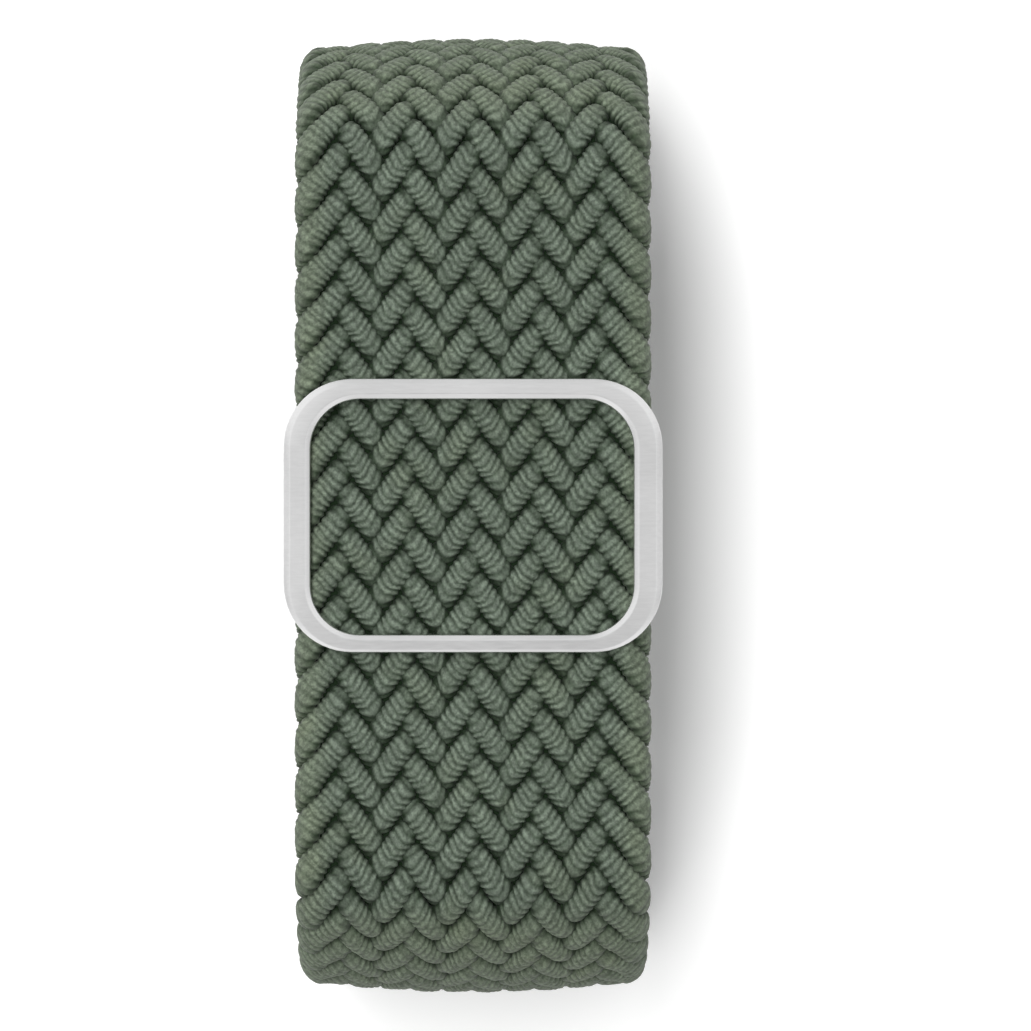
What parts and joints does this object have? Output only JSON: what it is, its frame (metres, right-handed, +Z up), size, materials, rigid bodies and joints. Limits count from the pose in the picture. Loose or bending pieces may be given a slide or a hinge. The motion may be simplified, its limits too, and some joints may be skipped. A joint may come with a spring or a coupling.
{
  "type": "watch strap",
  "caption": "Braided elastic watch strap closed into a loop, with a slide buckle on the front and a quick-release link for the watch case at each end",
  "frame": {"origin": "middle of the loop's footprint on the table that it stands on", "axes": "+X across the band, +Y along the loop towards the running link, +Z up, to the slider's side"},
  "size_m": [0.0242, 0.062, 0.0453],
  "materials": {
    "braid": "matt braided nylon",
    "thread": "matt sewing thread",
    "satin_steel": "satin",
    "polished_steel": "fine turned",
    "spring_steel": "drawn wire"
  },
  "bodies": {
    "band": {"braided_band": "braid", "return_stretch": "braid", "anchor_stitching": "thread"},
    "slider": {"slider_frame": "satin_steel", "slider_bar": "polished_steel", "folded_end": "braid", "slider_stitching": "thread"},
    "fixed_end": {"fixed_link": "satin_steel", "fixed_link_pin": "polished_steel", "fixed_bar_tube": "polished_steel", "fixed_bar_spring": "spring_steel"},
    "fixed_release": {"fixed_bar_release_tip": "polished_steel", "fixed_bar_release_knob": "polished_steel"},
    "fixed_plain": {"fixed_bar_plain_tip": "polished_steel"},
    "running_end": {"running_link": "satin_steel", "running_link_pin": "polished_steel", "running_bar_tube": "polished_steel", "running_bar_spring": "spring_steel"},
    "running_release": {"running_bar_release_tip": "polished_steel", "running_bar_release_knob": "polished_steel"},
    "running_plain": {"running_bar_plain_tip": "polished_steel"}
  },
  "joints": [
    {"name": "slider_slide", "type": "slide", "parent": "band", "child": "slider", "axis": [0, 1, 0], "range_m": [-0.012, 0.008], "deforming": ["return_stretch"]},
    {"name": "fixed_link_swing", "type": "hinge", "parent": "band", "child": "fixed_end", "pos_m": [0, -0.0272, 0.0038], "axis": [1, 0, 0], "range_deg": [-105, 24]},
    {"name": "fixed_release_press", "type": "slide", "parent": "fixed_end", "child": "fixed_release", "axis": [-1, 0, 0], "range_m": [0, 0.0015], "stiffness_N_per_m": 300, "springref_m": -0.002, "deforming": ["fixed_bar_spring"]},
    {"name": "fixed_plain_tip_press", "type": "slide", "parent": "fixed_end", "child": "fixed_plain", "axis": [1, 0, 0], "range_m": [0, 0.0015], "stiffness_N_per_m": 300, "springref_m": -0.002, "deforming": ["fixed_bar_spring"]},
    {"name": "running_link_swing", "type": "hinge", "parent": "band", "child": "running_end", "pos_m": [0, 0.0272, 0.0038], "axis": [-1, 0, 0], "range_deg": [-105, 24]},
    {"name": "running_release_press", "type": "slide", "parent": "running_end", "child": "running_release", "axis": [1, 0, 0], "range_m": [0, 0.0015], "stiffness_N_per_m": 300, "springref_m": -0.002, "deforming": ["running_bar_spring"]},
    {"name": "running_plain_tip_press", "type": "slide", "parent": "running_end", "child": "running_plain", "axis": [-1, 0, 0], "range_m": [0, 0.0015], "stiffness_N_per_m": 300, "springref_m": -0.002, "deforming": ["running_bar_spring"]}
  ]
}
